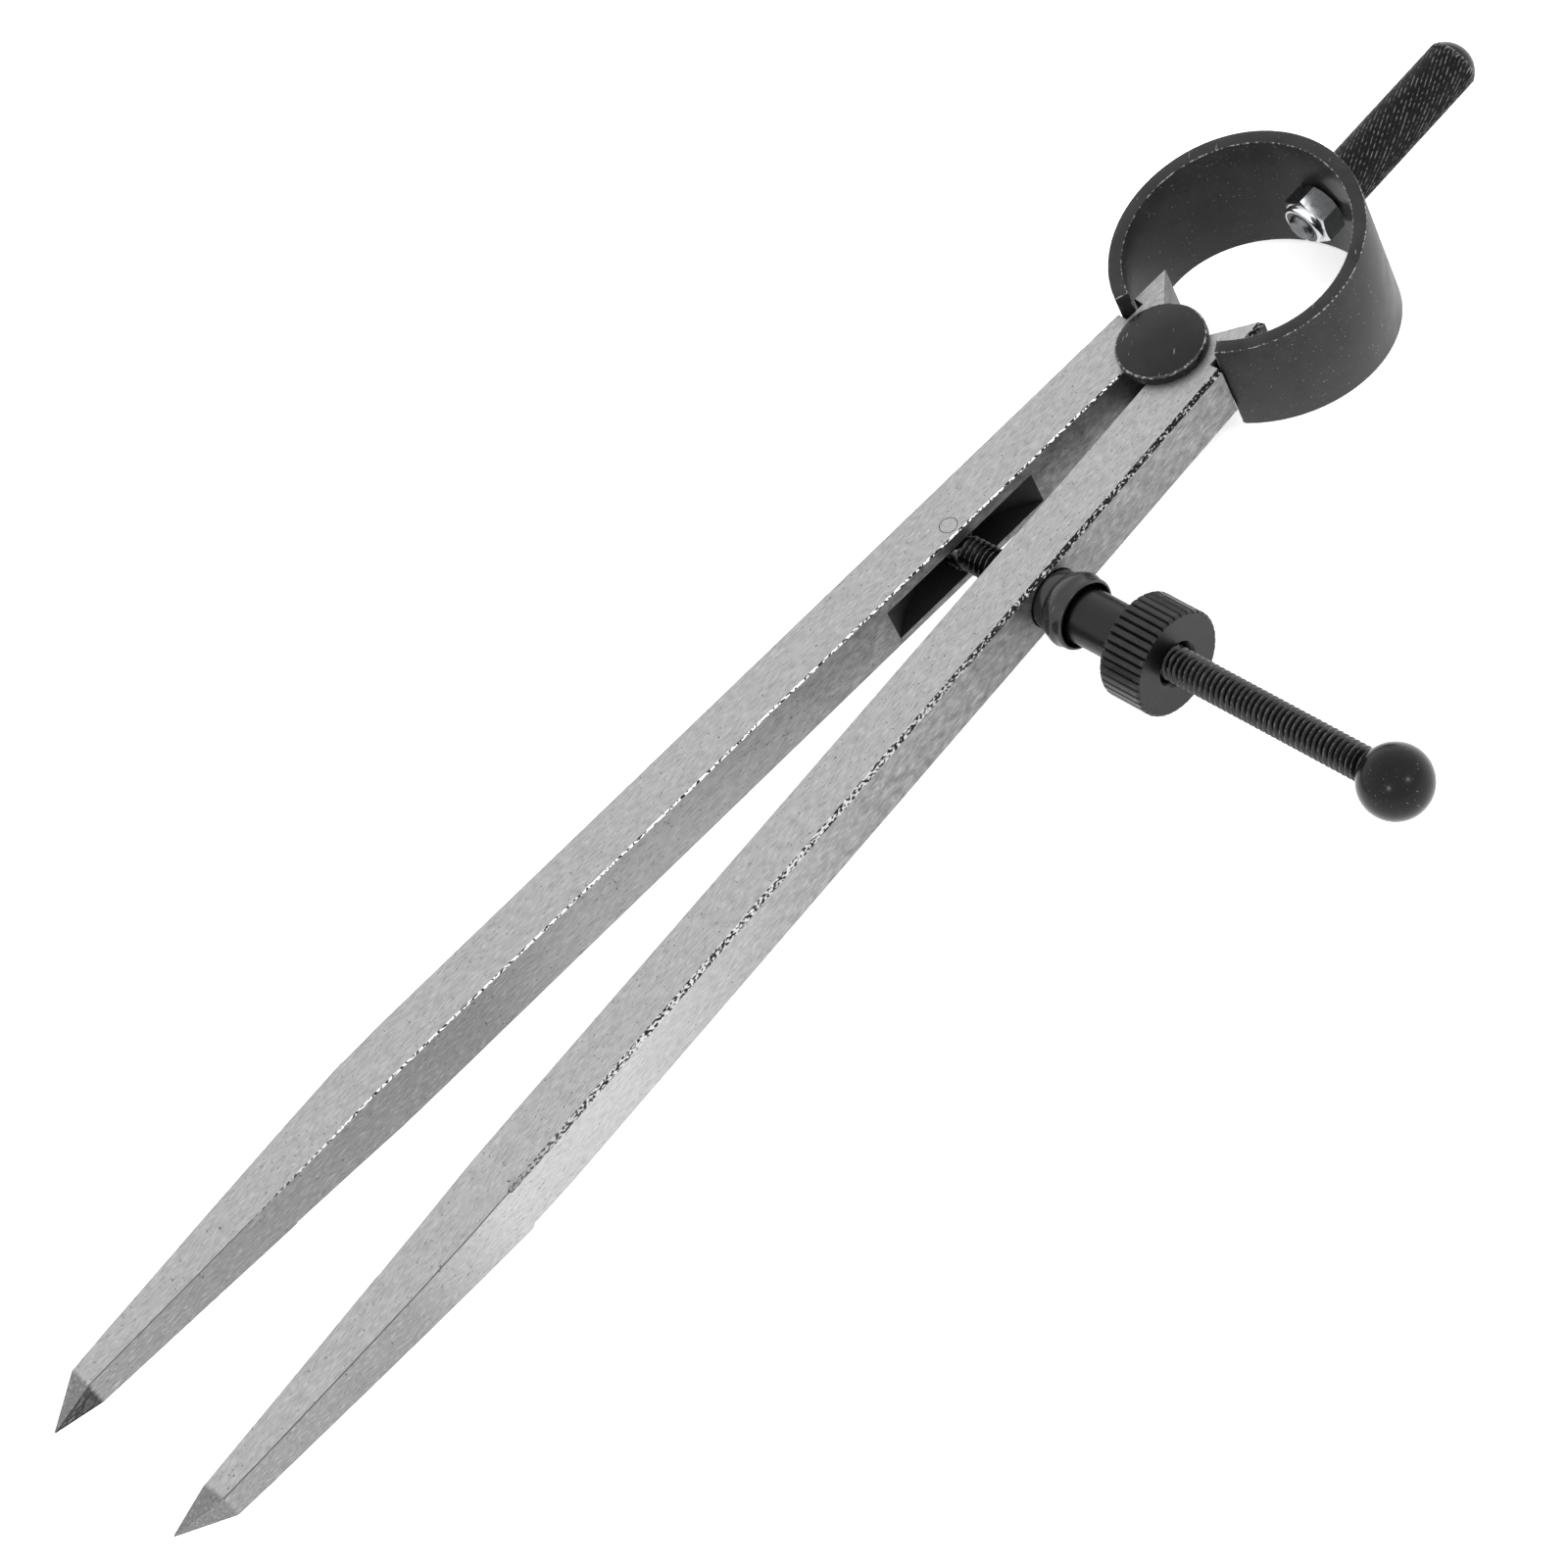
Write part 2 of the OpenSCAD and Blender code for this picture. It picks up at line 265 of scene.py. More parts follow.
def turned(name: str, stations: Sequence[Station], sides: int) -> Piece:
    """Turns a closed piece: a circle is extruded and scaled from station to station.

    Args:
        name: The piece's name.
        stations: Heights and radii in millimetres. A ring ends where it starts, and a solid
            starts and ends at radius 0.
        sides: How many sides the piece has around its axis.

    Returns:
        The piece, with its axis on Z.
    """
    deselect()
    height, radius = stations[0]
    bpy.ops.mesh.primitive_circle_add(
        vertices=sides, radius=max(radius, TINY) * MM, location=(0, 0, height * MM))
    piece = bpy.context.object
    piece.name = name
    bpy.ops.object.transform_apply(location=True)
    edit(piece)
    for (low, inner), (high, outer) in zip(stations, stations[1:]):
        ratio = max(outer, TINY) / max(inner, TINY)
        rise = (0, 0, (high - low) * MM)
        bpy.ops.mesh.extrude_region_move(TRANSFORM_OT_translate={"value": rise})
        bpy.ops.transform.resize(value=(ratio, ratio, 1), center_override=(0, 0, 0))
    close_edit()
    clean(piece, 2.2 * TINY)
    return piece


def arc(centre: Station, radius: float, start: float, end: float, steps: int) -> list[Station]:
    """Gives the stations of a round stretch of a turned outline.

    Args:
        centre: The arc's centre as height and distance from the axis.
        radius: The arc's radius.
        start: The angle where it starts, in degrees from the outward direction.
        end: The angle where it ends.
        steps: How many faces it has.

    Returns:
        The stations, both ends included.
    """
    turns = [math.radians(start + (end - start) * step / steps) for step in range(steps + 1)]
    return [(centre[0] + radius * math.sin(turn), max(0.0, centre[1] + radius * math.cos(turn)))
            for turn in turns]


def box(name: str, low: Vector, high: Vector) -> Piece:
    """Adds a box from its lowest to its highest corner, both in millimetres."""
    deselect()
    bpy.ops.mesh.primitive_cube_add(
        size=1, location=(low + high) / 2 * MM, scale=(high - low) * MM)
    piece = bpy.context.object
    piece.name = name
    bpy.ops.object.transform_apply(location=True, rotation=True, scale=True)
    return piece


def rod(name: str, radius: float, length: float, centre: Vector, sides: int,
        turn: Sequence[float] = (0, 0, 0)) -> Piece:
    """Adds a cylinder used as a cutter.

    Args:
        name: The cutter's name.
        radius: Its radius in millimetres.
        length: Its length in millimetres.
        centre: Its middle in millimetres.
        sides: How many sides it has.
        turn: Its turn about X, Y and Z in degrees, from an axis on Z.

    Returns:
        The cutter.
    """
    deselect()
    bpy.ops.mesh.primitive_cylinder_add(
        vertices=sides, radius=radius * MM, depth=length * MM, location=centre * MM,
        rotation=[math.radians(angle) for angle in turn])
    piece = bpy.context.object
    piece.name = name
    bpy.ops.object.transform_apply(location=True, rotation=True, scale=True)
    return piece


# ---------------------------------------------------------------- finishes


def linear(hex_colour: str) -> tuple[float, float, float, float]:
    """Turns an sRGB hex colour such as #B8B8B8 into the linear colour that shaders read."""
    parts = [int(hex_colour[i:i + 2], 16) / 255 for i in (1, 3, 5)]
    return (*[p / 12.92 if p <= 0.04045 else ((p + 0.055) / 1.055) ** 2.4 for p in parts], 1.0)


def add(tree: Tree, kind: str, settings: dict) -> bpy.types.Node:
    """Adds a node with its settings and links.

    Args:
        tree: The material's node tree.
        kind: The node's type.
        settings: Values by name or by a socket's place. A socket as a value is linked, a hex
            colour is turned to linear, and a name that is no socket is set on the node.

    Returns:
        The node.
    """
    node = tree.nodes.new(kind)
    for name, value in settings.items():
        if isinstance(value, str) and value.startswith("#"):
            value = linear(value)
        if isinstance(value, Socket):
            tree.links.new(value, node.inputs[name])
        elif isinstance(name, int) or name in node.inputs:
            node.inputs[name].default_value = value
        else:
            setattr(node, name, value)
    return node


@dataclass(frozen=True)
class Finish:
    """A finish on one piece, with its patterns in the piece's own frame."""

    name: str
    place: Matrix

    def build(self) -> bpy.types.Material:
        """Makes the material."""
        material = bpy.data.materials.new(self.name)
        material.use_nodes = True
        tree = material.node_tree
        tree.nodes.clear()
        shader = add(tree, "ShaderNodeBsdfPrincipled", self.surface(tree))
        add(tree, "ShaderNodeOutputMaterial", {"Surface": shader.outputs[0]})
        return material

    def surface(self, tree: Tree) -> dict:
        """Gives the settings of the shader."""
        raise NotImplementedError

    def local(self, tree: Tree, stretch: Sequence[float] = (1, 1, 1), turn: float = 0.0) -> Socket:
        """Gives coordinates in the piece's own frame.

        Args:
            tree: The material's node tree.
            stretch: How much longer the pattern is along each of the frame's axes.
            turn: The pattern's turn about the frame's Z, in degrees.

        Returns:
            The socket with the coordinates, in metres over the stretch.
        """
        turned_place = self.place @ Matrix.Rotation(math.radians(turn), 4, "Z")
        coordinates = add(tree, "ShaderNodeTexCoord", {})
        return add(tree, "ShaderNodeMapping", {
            "vector_type": "TEXTURE", "Vector": coordinates.outputs["Object"],
            "Location": turned_place.to_translation(), "Rotation": turned_place.to_euler(),
            "Scale": stretch}).outputs[0]

    def grain(self, tree: Tree, size: float, stretch: Sequence[float] = (1, 1, 1),
              detail: float = 2.0, turn: float = 0.0) -> Socket:
        """Gives an uneven pattern with grains of a size in millimetres."""
        return add(tree, "ShaderNodeTexNoise", {
            "Vector": self.local(tree, stretch, turn), "Scale": 1 / (size * MM),
            "Detail": detail}).outputs[0]

    def coat(self, tree: Tree, under: Paint, colour: Paint, pattern: Socket, low: float,
             high: float, cover: float = 1.0) -> Socket:
        """Lays a colour over another one where a pattern goes from low to high.

        Args:
            tree: The material's node tree.
            under: The colour below.
            colour: The colour on top.
            pattern: The pattern.
            low: The pattern's value where the top colour starts to show.
            high: The pattern's value where it covers the most.
            cover: How much it covers there, from 0 to 1.

        Returns:
            The mixed colour.
        """
        share = add(tree, "ShaderNodeMapRange", {0: pattern, 1: low, 2: high, 4: cover})
        return add(tree, "ShaderNodeMix", {
            "data_type": "RGBA", 0: share.outputs[0], 6: under, 7: colour}).outputs[2]


@dataclass(frozen=True)
class GroundSteel(Finish):
    """Mild steel surface-ground lengthwise: even grey, fine oblique lines, dark pits; painted shade on the sides
    and the point, and a painted highlight band on the sides.
    """

    front: str = "#8E8E8E"
    sides: str = "#757575"
    point: float = 193.0
    facet: float = 0.3
    painted_highlight_from: float = 72.0
    painted_highlight_to: float = 122.0
    painted_highlight_fade: tuple[float, float] = (22.0, 40.0)
    painted_highlight_cover: float = 0.0
    point_side_shade: str = "#6E6E6E"

    def surface(self, tree: Tree) -> dict:
        """Gives the settings of the shader."""
        normal = add(tree, "ShaderNodeTexCoord", {}).outputs["Normal"]
        up = add(tree, "ShaderNodeSeparateXYZ", {0: normal}).outputs[2]
        level = add(tree, "ShaderNodeMath", {"operation": "ABSOLUTE", 0: up}).outputs[0]
        along = add(tree, "ShaderNodeSeparateXYZ", {0: self.local(tree)}).outputs[1]
        ends = (-(self.point - self.facet) * MM, -(self.point + self.facet) * MM)
        dirt = self.grain(tree, 1.2, (1, 1.5, 1), 7.0)
        side = self.coat(tree, self.sides, "#565656", dirt, 0.5, 0.72, 0.7)
        side = self.coat(tree, side, "#989898", dirt, 0.5, 0.3, 0.5)
        # Painted highlight: a lighter band on the sides between two distances along the leg, fading back to the
        # side colour past its end.
        side = self.coat(tree, side, "#9C9C9C", along, -self.painted_highlight_from * MM,
                         -self.painted_highlight_to * MM, self.painted_highlight_cover)
        side = self.coat(tree, side, self.sides, along, -(self.painted_highlight_to + self.painted_highlight_fade[0]) * MM,
                         -(self.painted_highlight_to + self.painted_highlight_fade[1]) * MM)
        # Painted shade: past the point's start, its side facets take a darker colour.
        side = self.coat(tree, side, self.point_side_shade, along, *ends)
        face = self.coat(tree, self.front, "#7C7C7C", dirt, 0.5, 0.75, 0.35)
        face = self.coat(tree, face, "#9A9A9A", dirt, 0.5, 0.3, 0.35)
        # Painted shade on the point's front facets as well.
        face = self.coat(tree, face, "#565656", along, *ends, 0.8)
        # Painted shade: the sides take the darker side colour and the front the lighter front colour, chosen by
        # the face's direction.
        ground = self.coat(tree, side, face, level, 0.5, 0.9)
        # Real grinding lines are about 0.05 mm apart: drawn three times as coarse, so that they show.
        lines = self.grain(tree, 0.16, (1, 8, 1), 3.0, 2.5)
        lined = self.coat(tree, ground, "#5E5E5E", lines, 0.52, 0.72, 0.45)
        bright = self.coat(tree, lined, "#B4B4B4", lines, 0.46, 0.28, 0.4)
        # Real pits are about 0.1 mm across and don't show, so these are 0.3 mm.
        pits = self.grain(tree, 0.3, (1, 1.4, 1), 1.0)
        pitted = self.coat(tree, bright, "#242424", pits, 0.7, 0.75, 0.85)
        rough = add(tree, "ShaderNodeMapRange", {0: lines, 1: 0.3, 2: 0.7, 3: 0.4, 4: 0.52})
        bump = add(tree, "ShaderNodeBump", {"Height": lines, "Distance": 0.012 * MM, "Strength": 0.25})
        return {"Metallic": 1.0, "Base Color": pitted, "Roughness": rough.outputs[0],
                "Normal": bump.outputs[0]}


@dataclass(frozen=True)
class ArrisSteel(Finish):
    """The narrow ground-off corner of a leg: painted glints in short beads over a dark band of painted shade,
    plain grey further down.
    """

    dark: str = "#2C2C2C"
    glint: float = 0.52
    bead: float = 0.24
    light: str = "#D0D0D0"
    bright: str = "#D8D8D8"
    painted_glint_line_from: float = 55.0
    glints_stop_at: float = 150.0

    def surface(self, tree: Tree) -> dict:
        """Gives the settings of the shader."""
        # The beads are painted glints; real ones are finer than 0.1 mm, so these are drawn 0.24 mm wide to show.
        beads = self.grain(tree, self.bead, (1, 2.2, 1), 2.0)
        along = add(tree, "ShaderNodeSeparateXYZ", {0: self.local(tree)}).outputs[1]
        # Painted highlight: bright beads over the dark band, which is painted shade; past a distance along the leg
        # the beads are brighter and denser.
        colour = self.coat(tree, self.dark, self.light, beads, self.glint, self.glint + 0.08)
        bright = self.coat(tree, self.dark, self.bright, beads, 0.46, 0.54)
        colour = self.coat(tree, colour, bright, along, -(self.painted_glint_line_from - 10) * MM,
                           -(self.painted_glint_line_from + 10) * MM)
        # Past the given distance the painted glints stop and the arris is plain grey.
        glints_stopped = self.coat(tree, colour, "#4C4C4C", along, -(self.glints_stop_at - 14) * MM,
                           -(self.glints_stop_at + 8) * MM)
        bump = add(tree, "ShaderNodeBump", {"Height": beads, "Distance": 0.05 * MM, "Strength": 0.4})
        return {"Metallic": 1.0, "Roughness": 0.36, "Base Color": glints_stopped, "Normal": bump.outputs[0]}


@dataclass(frozen=True)
class PocketShade(Finish):
    """Disc-milled steel inside the pocket, dull, its colour near-black as painted shade."""

    def surface(self, tree: Tree) -> dict:
        """Gives the settings of the shader."""
        marks = self.grain(tree, 0.35, (1, 1, 12))
        return {"Metallic": 0.3, "Roughness": 0.65,
                "Base Color": self.coat(tree, "#060606", "#161616", marks, 0.3, 0.7)}


@dataclass(frozen=True)
class BlackOxide(Finish):
    """Blackened steel, oiled: a smooth dark satin skin, faintly clouded, with few fine scratches.

    On a thread or a knurl the grooves are painted near-black as shade, and the crests are lighter, partly worn and
    partly painted glint.
    """

    colour: str = "#161616"
    cloud: str = "#222222"
    scratches: float = 0.5
    roughness: float = 0.36
    gloss: float = 0.3
    groove: float = 0.0
    crest: float = 0.0
    crest_wear_and_glint: str = "#5A5A5A"
    mark: float = 0.6
    marks: tuple[float, float, float] = (1, 1, 1)

    def surface(self, tree: Tree) -> dict:
        """Gives the settings of the shader."""
        clouds = self.grain(tree, 4.0, (1, 1, 1), 4.0)
        fine = self.grain(tree, 0.5, (1, 1, 1), 2.0)
        skin = self.coat(tree, self.colour, self.cloud, clouds, 0.35, 0.7)
        # A real scratch is a few hundredths of a millimetre wide: drawn 0.24 mm, so that it shows.
        lines = self.grain(tree, 0.24, (1, 14, 1), 1.0, 35)
        marked = self.coat(tree, skin, "#8C8C8C", lines, 0.72, 0.78, self.scratches)
        if self.crest:
            away = add(tree, "ShaderNodeVectorMath", {
                "operation": "MULTIPLY", 0: self.local(tree), 1: (1, 1, 0)}).outputs[0]
            radius = add(tree, "ShaderNodeVectorMath", {"operation": "LENGTH", 0: away}).outputs[1]
            # Painted shade in the grooves, near-black towards the root; the crests take light patches, partly worn
            # and partly painted glint.
            shaded_grooves = self.coat(tree, "#020202", marked, radius, self.groove * MM, self.crest * MM)
            patches = self.grain(tree, self.mark, self.marks, 3.0)
            top = self.coat(tree, marked, self.crest_wear_and_glint, patches, 0.46, 0.6)
            middle = (self.groove + 3 * self.crest) / 4
            marked = self.coat(tree, shaded_grooves, top, radius, middle * MM, self.crest * MM)
        rough = add(tree, "ShaderNodeMapRange", {
            0: clouds, 1: 0.3, 2: 0.7, 3: self.roughness - 0.05, 4: self.roughness + 0.06})
        bump = add(tree, "ShaderNodeBump", {"Height": fine, "Distance": 0.006 * MM, "Strength": 0.12})
        return {"Metallic": 0.0, "Specular IOR Level": self.gloss, "Base Color": marked,
                "Roughness": rough.outputs[0], "Normal": bump.outputs[0]}


@dataclass(frozen=True)
class EdgeWearAndGlint(Finish):
    """The edge of a blackened piece: dark, with short light dashes, partly worn by handling and partly painted
    glint.
    """

    dark: str = "#161616"

    def surface(self, tree: Tree) -> dict:
        """Gives the settings of the shader."""
        # Light dashes along the edge: partly worn, partly painted glint.
        dashes = self.grain(tree, 0.5, (1, 1, 1), 3.0)
        return {"Metallic": 0.4, "Roughness": 0.4,
                "Base Color": self.coat(tree, self.dark, "#7C7C7C", dashes, 0.5, 0.6)}


@dataclass(frozen=True)
class ZincPlate(Finish):
    """Bright zinc over steel: light, mirror-like where rolled and slightly clouded."""

    colour: str = "#D8DADC"
    cloud: str = "#8E9092"
    roughness: float = 0.16

    def surface(self, tree: Tree) -> dict:
        """Gives the settings of the shader."""
        clouds = self.grain(tree, 0.9, (1, 1, 1), 3.0)
        rough = add(tree, "ShaderNodeMapRange", {
            0: clouds, 1: 0.3, 2: 0.7, 3: self.roughness - 0.04, 4: self.roughness + 0.08})
        return {"Metallic": 1.0, "Roughness": rough.outputs[0],
                "Base Color": self.coat(tree, self.colour, self.cloud, clouds, 0.48, 0.78, 0.6)}


@dataclass(frozen=True)
class Nylon(Finish):
    """Moulded natural nylon, coloured dark as painted shade inside the collar: a waxy ring."""

    def surface(self, tree: Tree) -> dict:
        """Gives the settings of the shader."""
        clouds = self.grain(tree, 1.2)
        return {"Roughness": 0.45, "IOR": 1.53, "Subsurface Weight": 0.1,
                "Base Color": self.coat(tree, "#4A4945", "#2E2D2A", clouds, 0.3, 0.7)}


@dataclass(frozen=True)
class PaleTable(Finish):
    """A matt white table top, faintly lit from below, so that shadows on it stay pale."""

    def surface(self, tree: Tree) -> dict:
        """Gives the settings of the shader."""
        return {"Base Color": "#FCFCFC", "Roughness": 0.9, "Specular IOR Level": 0.1,
                "Emission Color": (1, 1, 1, 1), "Emission Strength": 0.45}


def dress(piece: Piece, *finishes: Finish) -> None:
    """Gives a piece its finishes, one material slot each."""
    give_slots(piece, len(finishes))
    for place, finish in enumerate(finishes):
        piece.data.materials[place] = finish.build()


# ---------------------------------------------------------------- legs


# What differs between the two legs' steel: the painted highlight band on the sides and the painted shade on the
# point's side facets.
STEEL = {Side.LEFT: {"painted_highlight_from": 50.0, "painted_highlight_to": 85.0, "painted_highlight_cover": 0.6, "point_side_shade": "#262626"},
         Side.RIGHT: {"painted_highlight_cover": 1.0, "point_side_shade": "#606060"}}
# Each leg's arris: its painted shade band, its painted glint beads and where they change along the leg.
ARRIS = {Side.LEFT: {"dark": "#101010", "glint": 0.49, "light": "#C8C8C8", "bright": "#D8D8D8",
                     "glints_stop_at": 160.0},
         Side.RIGHT: {"dark": "#181818", "glint": 0.55, "light": "#909090", "bright": "#8C8C8C",
                      "glints_stop_at": 140.0}}


@dataclass
class Leg:
    """One ground leg: tapered bar, 45 degree head, hub bearing, spring notch and milled pocket."""

    side: Side
    angle: float = 3.04
    inner: float = 1.7
    width: float = 7.9
    thickness: float = 8.9
    length: float = 200.0
    inner_arris: float = 0.19
    outer_arris: float = 0.25
    worn_outer_arris: float = 0.55
    fine_arrises: tuple[float, float] = (0.1, 0.12)
    fine_from: tuple[float, float] = (160, 142)
    hub: float = 3.64
    notch: tuple[float, float, float] = (1.9, 0.5, 3.6)
    pocket_centre: float = 37.6
    pocket_depth: float = 5.0
    pocket_width: float = 5.7
    pocket_reach: float = 14.0
    cutter: float = 20.5
    screw_level: float = -0.4
    pin: tuple[float, float, float] = (37.05, 3.55, 1.3)
    seat_along: float = 36.72
    seat_stand_off: float = 1.17
    seat_radius: float = 4.4
    play: float = 0.25
    swings: tuple[tuple[int, float], ...] = ((1, 23.0), (-1, 2.5))
    tapers: tuple[tuple[float, float, float], ...] = (
        (135, 7.9, 8.9), (142, 7.72, 8.75), (150, 7.3, 7.9), (160, 6.6, 7.0), (170, 5.8, 6.2),
        (180, 4.95, 5.4), (187, 4.35, 4.9), (193, 3.75, 4.4), (200, 0.16, 0.16))

    def __post_init__(self) -> None:
        """Works out the direction of the side and the leg's own frame."""
        self.way = self.side.value
        self.outer = self.inner + self.width
        turn = math.radians(self.way * self.angle)
        self.place = Matrix.Translation(FULCRUM) @ Matrix.Rotation(turn, 4, "Z")
        self.node = f"{self.side.body}_leg"

    def blank(self) -> Piece:
        """Shapes the tapered bar with its head and its ground-off arrises."""
        ends = sorted((self.way * self.inner, self.way * self.outer))
        half = self.thickness / 2
        bar = box(f"{self.node}_bar", Vector((ends[0], -self.length, -half)),
                  Vector((ends[1], self.outer, half)))
        give_slots(bar, 3)
        edit(bar)
        bpy.ops.mesh.bisect(
            plane_co=(0, 0, 0), plane_no=(-self.way, 1, 0), use_fill=True, clear_outer=True)
        for along, _, _ in self.tapers[:-1]:
            bpy.ops.mesh.select_all(action="SELECT")
            bpy.ops.mesh.bisect(plane_co=(0, -along * MM, 0), plane_no=(0, 1, 0))
        for along, width, thickness in self.tapers[1:]:
            choose(bar, lambda place: abs(place.y + along * MM) < 0.01 * MM)
            bpy.ops.transform.resize(
                value=(width / self.width, 1, thickness / self.thickness),
                center_override=(self.way * self.inner * MM, 0, 0))
        self.grind_arrises(bar)
        close_edit()
        return bar

    def grind_arrises(self, bar: Piece) -> None:
        """Bevels the long edges of the open bar, finer on its tapered end."""
        head, end = -2 * self.outer, self.tapers[-2][0]
        outer = self.outer_arris if self.side is Side.LEFT else self.worn_outer_arris
        fine_inner, fine_outer = self.fine_from
        for outside, front, width, start, stop in (
                (False, True, self.inner_arris, head, fine_inner),
                (False, False, self.inner_arris, head, fine_inner),
                (True, True, outer, head, fine_outer),
                (True, False, outer, head, fine_outer),
                (False, True, self.fine_arrises[0], fine_inner, end),
                (True, True, self.fine_arrises[1], fine_outer, end)):
            choose_edges(bar, lambda middle, way: (
                abs(way.y) > 0.8 and start * MM < -middle.y < stop * MM and (middle.z > 0) == front
                and (abs(middle.x) > 1.3 * self.inner * MM) == outside))
            bpy.ops.mesh.bevel(
                offset=width * MM, segments=1, affect="EDGES", material=1, clamp_overlap=False)

    def machine(self, bar: Piece) -> None:
        """Cuts the hub bearing, the spring's notch, the pocket and the screw's ways."""
        high = 2 * self.thickness
        cut(bar, rod("hub_cutter", self.hub, high, Vector(), 96))
        depth, low, top = self.notch
        ends = sorted((self.way * (self.outer - depth), self.way * (self.outer + 4)))
        cut(bar, box("notch_cutter", Vector((ends[0], low, -high)), Vector((ends[1], top, high))))
        centre = self.way * (self.inner + self.pocket_depth - self.cutter)
        cut(bar, rod("pocket_cutter", self.cutter, self.pocket_width,
                     Vector((centre, -self.pocket_centre, self.screw_level)), 160))
        if self.side is Side.LEFT:
            along, across, radius = self.pin
            cut(bar, rod("pin_cutter", radius, high, Vector((self.way * across, -along, 0)), 40))
        else:
            self.cut_seat(bar)

    def cut_seat(self, bar: Piece) -> None:
        """Cuts the ball seat and the screw's hole, wider inside for the screw's swing."""
        seat_centre = Vector((self.outer + self.seat_stand_off, -self.seat_along, self.screw_level))
        hole = rod("hole_cutter", self.pocket_width / 2, self.width,
                   seat_centre - Vector((self.width / 2, 0, 0)), 48, (0, 90, 0))
        edit(hole)
        for way, swing in self.swings:
            choose(hole, lambda place: way * (place.y + self.seat_along * MM) > 0.001 * MM)
            bpy.ops.transform.translate(value=(0, way * self.play * MM, 0))
            choose(hole, lambda place: (
                place.x < self.outer * MM - 0.5 * MM
                and way * (place.y + self.seat_along * MM) > 0.001 * MM))
            shift = self.width * math.tan(math.radians(swing))
            bpy.ops.transform.translate(value=(0, way * shift * MM, 0))
        close_edit()
        cut(bar, hole)
        deselect()
        bpy.ops.mesh.primitive_uv_sphere_add(
            segments=64, ring_count=32, radius=self.seat_radius * MM, location=seat_centre * MM)
        bpy.ops.object.transform_apply(location=True)
        cut(bar, bpy.context.object)

    def mark_pocket(self, bar: Piece) -> None:
        """Gives the milled faces inside the leg their own material slot, painted near-black as shade."""
        inside = self.pocket_width / 2 + 0.05
        for face in bar.data.polygons:
            place = face.center / MM
            across = abs(place.x)
            level = abs(place.z - self.screw_level)
            along = abs(place.y + self.pocket_centre)
            through = self.inner + 0.02 < across < self.outer - 0.02
            if level < inside and along < self.pocket_reach and through:
                face.material_index = 2

    def build(self) -> Piece:
        """Makes the leg and dresses it."""
        bar = self.blank()
        self.machine(bar)
        self.mark_pocket(bar)
        seat(bar, self.place, 9)
        dress(bar, GroundSteel(f"ground_steel_{self.node}", self.place, **STEEL[self.side]),
              ArrisSteel(f"ground_arris_{self.node}", self.place, **ARRIS[self.side]),
              PocketShade(f"milled_pocket_{self.node}", self.place))
        hand_over(bar, self.side.body, self.node)
        return bar


# ---------------------------------------------------------------- bow: spring, fulcrum, handle


@dataclass
class BowSpring:
    """C-shaped strip in two halves that meet at the crown and reach down to the leg heads."""

    centre: float = 16.3
    half_width: float = 18.2
    half_height: float = 17.35
    strip: float = 1.95
    crown_band: float = 21.4
    opening: float = 29.5
    corner: float = 0.5
    narrowing: tuple[float, float] = (-10.7, 4.24)
    lap: float = 0.6
    foot: tuple[float, float] = (9.0, 2.0)
    sides: int = 240

    def band(self, height: float) -> float:
        """Gives half the width of the strip, in millimetres, at a height above the fulcrum."""
        drop = (self.centre + self.half_height - height) / (2 * self.half_height)
        first, second = self.narrowing
        return (self.crown_band + first * drop + second * drop * drop) / 2

    def strip_ring(self) -> Piece:
        """Shapes the whole strip from an open-ended tube."""
        deselect()
        bpy.ops.mesh.primitive_cylinder_add(
            vertices=self.sides, radius=1, depth=2 * MM, end_fill_type="NOTHING")
        ring = bpy.context.object
        ring.name = "bow_spring_strip"
        ring.scale = (self.half_width * MM, self.half_height * MM, 1)
        bpy.ops.object.transform_apply(scale=True)
        edit(ring)
        bpy.ops.mesh.select_mode(type="FACE")
        mesh = bmesh.from_edit_mesh(ring.data)
        for face in mesh.faces:
            place = face.calc_center_median()
            turn = math.degrees(math.atan2(place.x / self.half_width, -place.y / self.half_height))
            face.select = abs(turn) < self.opening
        bmesh.update_edit_mesh(ring.data)
        bpy.ops.mesh.delete(type="FACE")
        close_edit()
        solid = ring.modifiers.new("strip", "SOLIDIFY")
        solid.thickness = self.strip * MM
        solid.offset = -1
        solid.use_even_offset = True
        apply_modifier(ring, solid)
        for vertex in ring.data.vertices:
            across, up = vertex.co.x / self.half_width, vertex.co.y / self.half_height
            turn = abs(math.degrees(math.atan2(across, -up)))
            left = max(0.0, math.radians(turn - self.opening) * self.half_height)
            short = max(0.0, self.corner - left)
            rounded = self.corner - math.sqrt(self.corner ** 2 - short ** 2)
            half = self.band(self.centre + vertex.co.y / MM) - rounded
            vertex.co.z = math.copysign(half * MM, vertex.co.z)
        give_slots(ring, 2)
        soften(ring, 0.12, 2, 50, slot=1)
        return ring

    def build(self) -> list[Piece]:
        """Makes both halves."""
        ring = self.strip_ring()
        ring.location = (0, self.centre * MM, 0)
        place = Matrix.Translation(FULCRUM) @ Matrix.Translation((0, self.centre * MM, 0))
        halves = []
        for side in Side:
            half = ring.copy()
            half.data = ring.data.copy()
            half.name = f"bow_spring_{side.body}"
            half.location = (0, 0, 0)
            bpy.context.scene.collection.objects.link(half)
            edit(half)
            bpy.ops.mesh.bisect(plane_co=(-self.lap * MM, 0, 0), plane_no=(-side.value, 0, 0),
                                use_fill=True, clear_outer=True)
            close_edit()
            seat(half, place, 30)
            dress(half, BlackOxide(f"oiled_spring_steel_{side.body}", place, "#171717", "#222222",
                                   scratches=0.6, roughness=0.38, gloss=0.17),
                  EdgeWearAndGlint(f"rubbed_spring_edge_{side.body}", place))
            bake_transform(half)
            halves.append(half)
            log.info("%s: %d faces", half.name, len(half.data.polygons))
        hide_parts("bow_spring")
        bpy.data.objects.remove(ring)
        return halves


